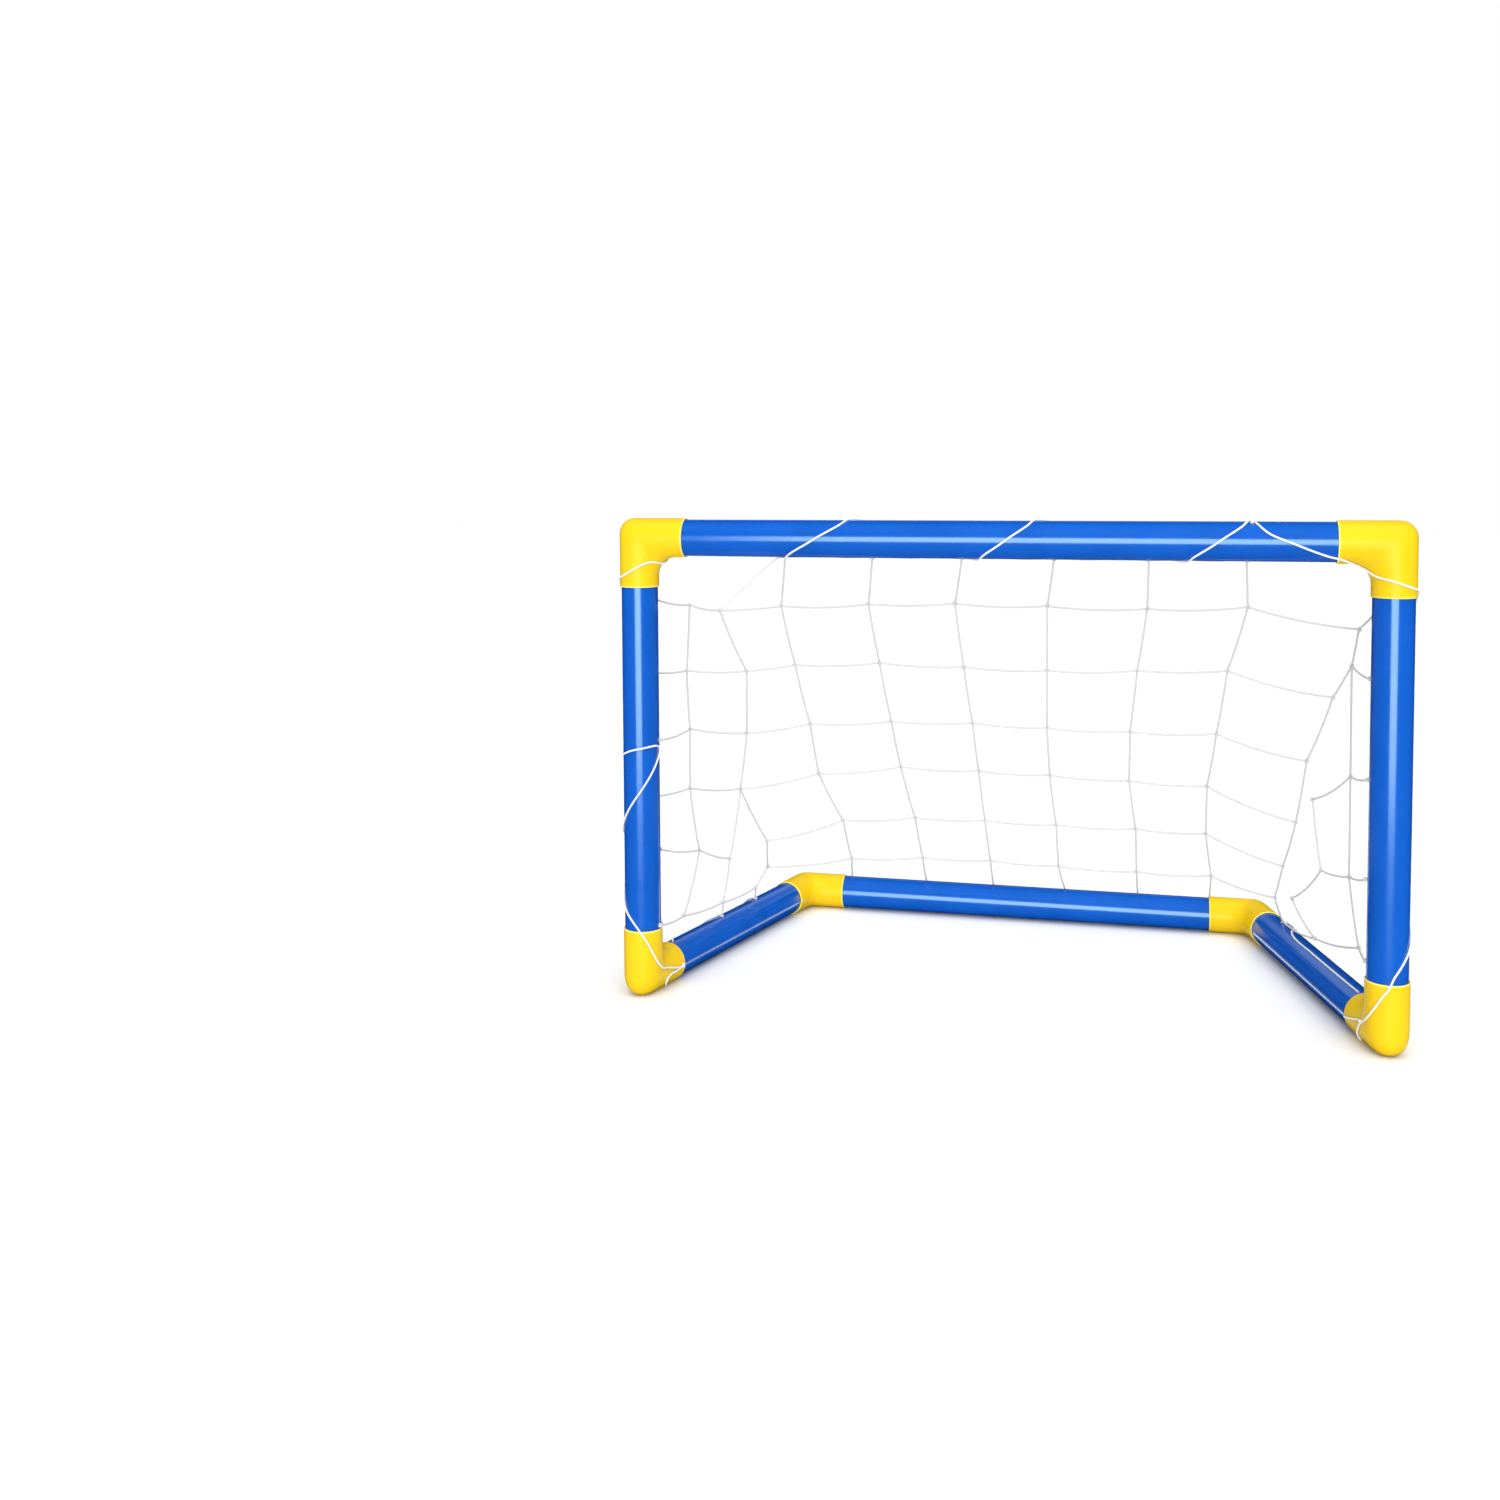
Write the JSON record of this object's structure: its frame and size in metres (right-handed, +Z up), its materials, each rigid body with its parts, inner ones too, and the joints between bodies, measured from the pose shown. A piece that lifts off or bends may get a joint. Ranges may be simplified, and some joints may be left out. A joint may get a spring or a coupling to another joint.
{
  "type": "play goal",
  "caption": "Push-fit play goal: round plastic tubes joined by moulded elbows, with a sloping string net laced to the frame.",
  "frame": {"origin": "on the ground, at the middle of the goal's footprint", "axes": "+X along the crossbar, to the right as seen by a player in front of the goal; +Y from the mouth to the back; +Z up"},
  "size_m": [0.6554, 0.3401, 0.4248],
  "materials": {
    "blue_tube": "glossy blue plastic",
    "yellow_elbow": "semi-gloss yellow plastic",
    "white_string": "twisted white string"
  },
  "bodies": {
    "base": {"front_left_foot_elbow": "yellow_elbow", "front_right_foot_elbow": "yellow_elbow", "rear_left_elbow": "yellow_elbow", "rear_right_elbow": "yellow_elbow", "left_base_tube": "blue_tube", "right_base_tube": "blue_tube", "rear_base_tube": "blue_tube", "left_base_lacing": "white_string", "right_base_lacing": "white_string", "rear_bar_lacing": "white_string", "back_net": "white_string", "left_side_net": "white_string", "right_side_net": "white_string"},
    "hoop": {"crossbar_tube": "blue_tube", "left_post_tube": "blue_tube", "right_post_tube": "blue_tube", "top_left_elbow": "yellow_elbow", "top_right_elbow": "yellow_elbow", "crossbar_lacing": "white_string", "left_post_lacing": "white_string", "right_post_lacing": "white_string"}
  },
  "joints": [
    {"name": "hoop_lift", "type": "slide", "parent": "base", "child": "hoop", "axis": [0, 0, 1], "range_m": [0, 0.045]}
  ]
}
